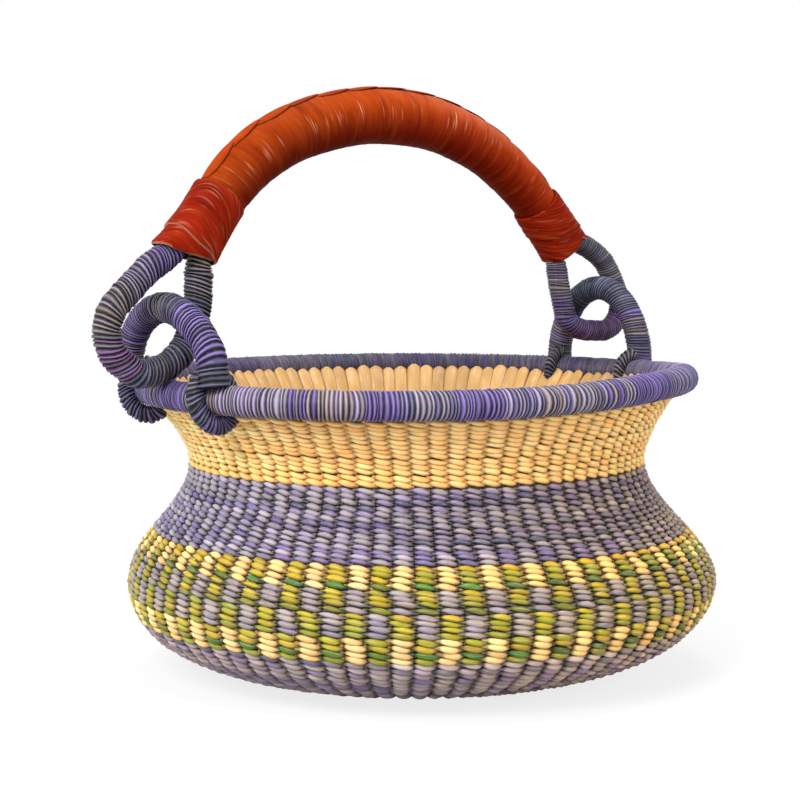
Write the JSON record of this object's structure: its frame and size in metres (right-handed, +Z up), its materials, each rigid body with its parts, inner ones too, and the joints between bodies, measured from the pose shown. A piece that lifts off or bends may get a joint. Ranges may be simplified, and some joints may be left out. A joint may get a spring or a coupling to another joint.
{
  "type": "bolga basket",
  "caption": "Round pot-bellied twined grass basket with a flared wound rim and an arched leather covered handle linked to two rim bows.",
  "frame": {"origin": "centre of the flat base, on the surface that the basket stands on", "axes": "+Z up; X along the handle, from the larger loop at -X to the smaller one at +X; +Y towards the side that the handle stands off the centre"},
  "size_m": [0.3424, 0.3, 0.2997],
  "materials": {
    "straw": "natural dried grass, matt to silky",
    "cream_weft": "natural dried grass weft, silky",
    "purple_weft": "dyed grass weft, silky",
    "green_weft": "dyed grass weft, silky",
    "wound_strip": "dyed grass strip wound tight",
    "grip_leather": "dyed goat leather, semi gloss",
    "cuff_leather": "dyed goat leather strip, semi gloss"
  },
  "bodies": {
    "basket": {"base_start": "straw", "base_weave": "straw", "foot_band": "purple_weft", "checker_course_1": "cream_weft", "checker_course_2": "green_weft", "checker_course_3": "purple_weft", "checker_course_4": "cream_weft", "shoulder_band": "purple_weft", "neck_band": "straw", "stake_border_back": "straw", "stake_border_left": "straw", "stake_border_front": "straw", "stake_border_right": "straw", "rim_core": "straw", "rim_wrap": "wound_strip"},
    "left_bracket": {"left_bow_wrap": "wound_strip", "left_bow_core": "straw", "left_back_ring": "wound_strip", "left_front_ring": "wound_strip"},
    "right_bracket": {"right_bow_wrap": "wound_strip", "right_bow_core": "straw", "right_back_ring": "wound_strip", "right_front_ring": "wound_strip"},
    "handle": {"handle_core": "straw", "grip_leather": "grip_leather", "grip_lacing": "grip_leather", "left_loop_wrap": "wound_strip", "left_loop_core": "straw", "right_loop_wrap": "wound_strip", "right_loop_core": "straw", "left_cuff": "cuff_leather", "right_cuff": "cuff_leather"}
  },
  "joints": [
    {"name": "handle_swing", "type": "hinge", "parent": "basket", "child": "handle", "pos_m": [0, 0.012, 0.1601], "axis": [1, 0, 0], "range_deg": [-70, 70]},
    {"name": "left_bracket_rock", "type": "hinge", "parent": "basket", "child": "left_bracket", "pos_m": [-0.13333, 0.01135, 0.146], "axis": [-0.0848, -0.9964, 0], "range_deg": [-4, 4]},
    {"name": "right_bracket_rock", "type": "hinge", "parent": "basket", "child": "right_bracket", "pos_m": [0.13438, 0.01177, 0.146], "axis": [-0.0873, 0.9962, 0], "range_deg": [-4, 4]}
  ]
}
